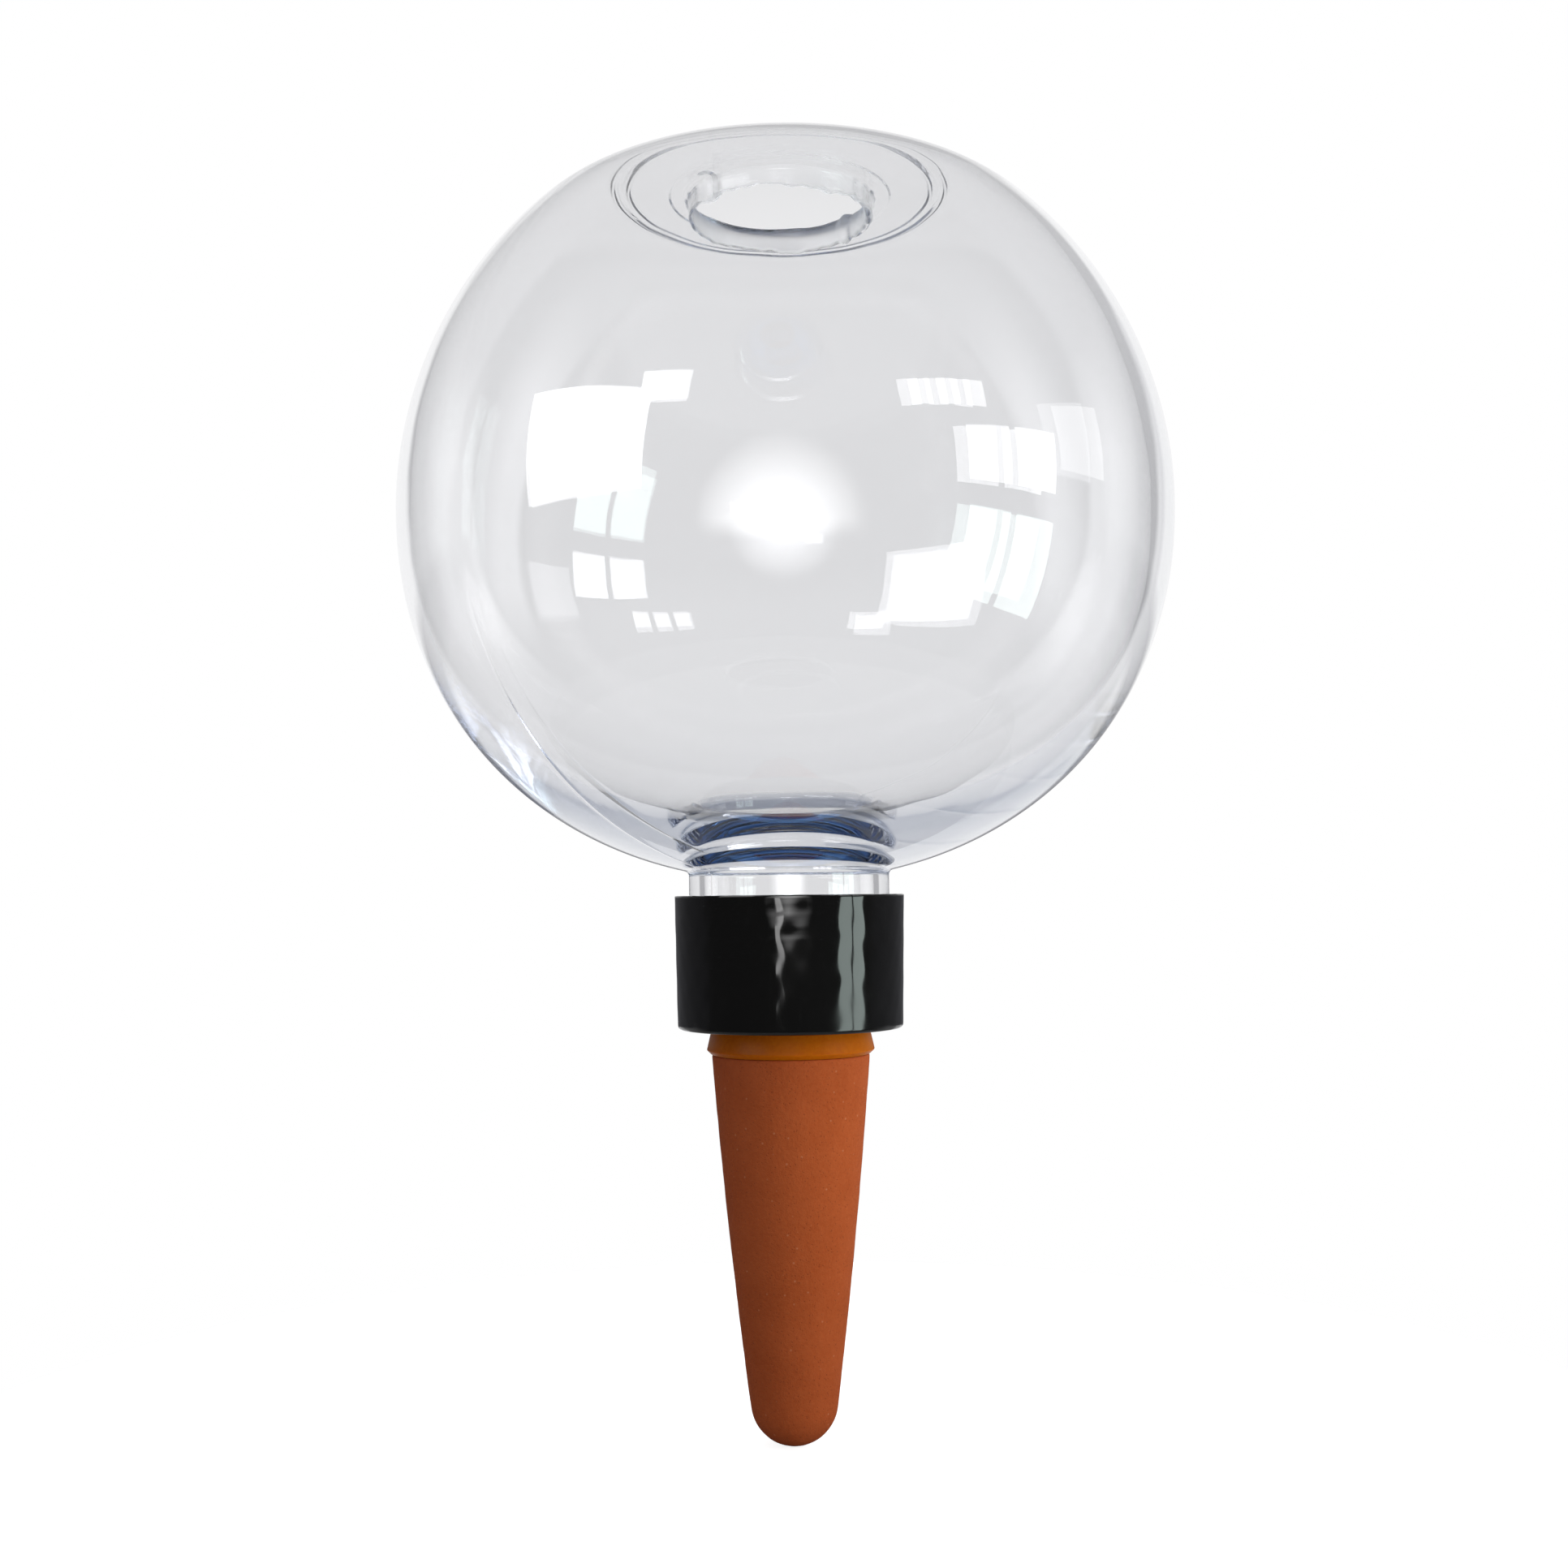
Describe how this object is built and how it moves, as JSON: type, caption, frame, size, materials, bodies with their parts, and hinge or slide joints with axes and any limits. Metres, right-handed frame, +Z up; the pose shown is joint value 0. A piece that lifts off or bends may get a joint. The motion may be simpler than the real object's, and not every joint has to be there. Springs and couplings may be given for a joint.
{
  "type": "plant watering globe",
  "caption": "Clear round bottle held neck down by a screw collar on a hollow terracotta stake; filled through a hole on top, it feeds water slowly into a plant pot's soil.",
  "frame": {"origin": "on the upright axis at the soil line, where the shoulder of the stake meets the bottom of the seal bush", "axes": "+Z up along the common axis of all pieces, from the stake to the filler hole; X and Y level, any turn about Z is the same"},
  "size_m": [0.1, 0.1, 0.1636],
  "materials": {
    "clear_plastic": "clear, polished, blown",
    "black_plastic": "smooth gloss moulding",
    "amber_rubber": "translucent, satin",
    "terracotta": "unglazed, fine matt grain",
    "blue_rubber": "soft, satin"
  },
  "bodies": {
    "stake_set": {"terracotta_stake": "terracotta", "seal_bush": "amber_rubber", "neck_washer": "blue_rubber"},
    "collar": {"screw_collar": "black_plastic"},
    "globe": {"globe_bottle": "clear_plastic"}
  },
  "joints": [
    {"name": "globe_lift", "type": "slide", "parent": "stake_set", "child": "globe", "axis": [0, 0, 1], "range_m": [0, 0.009]},
    {"name": "collar_turn", "type": "hinge", "parent": "stake_set", "child": "collar", "pos_m": [0, 0, 0.0121], "axis": [0, 0, -1], "range_deg": [0, 1080.5]}
  ],
  "couplings": [
    {"joint": "collar_turn", "follows": "globe_lift", "rad_per_m": 2094.4}
  ]
}
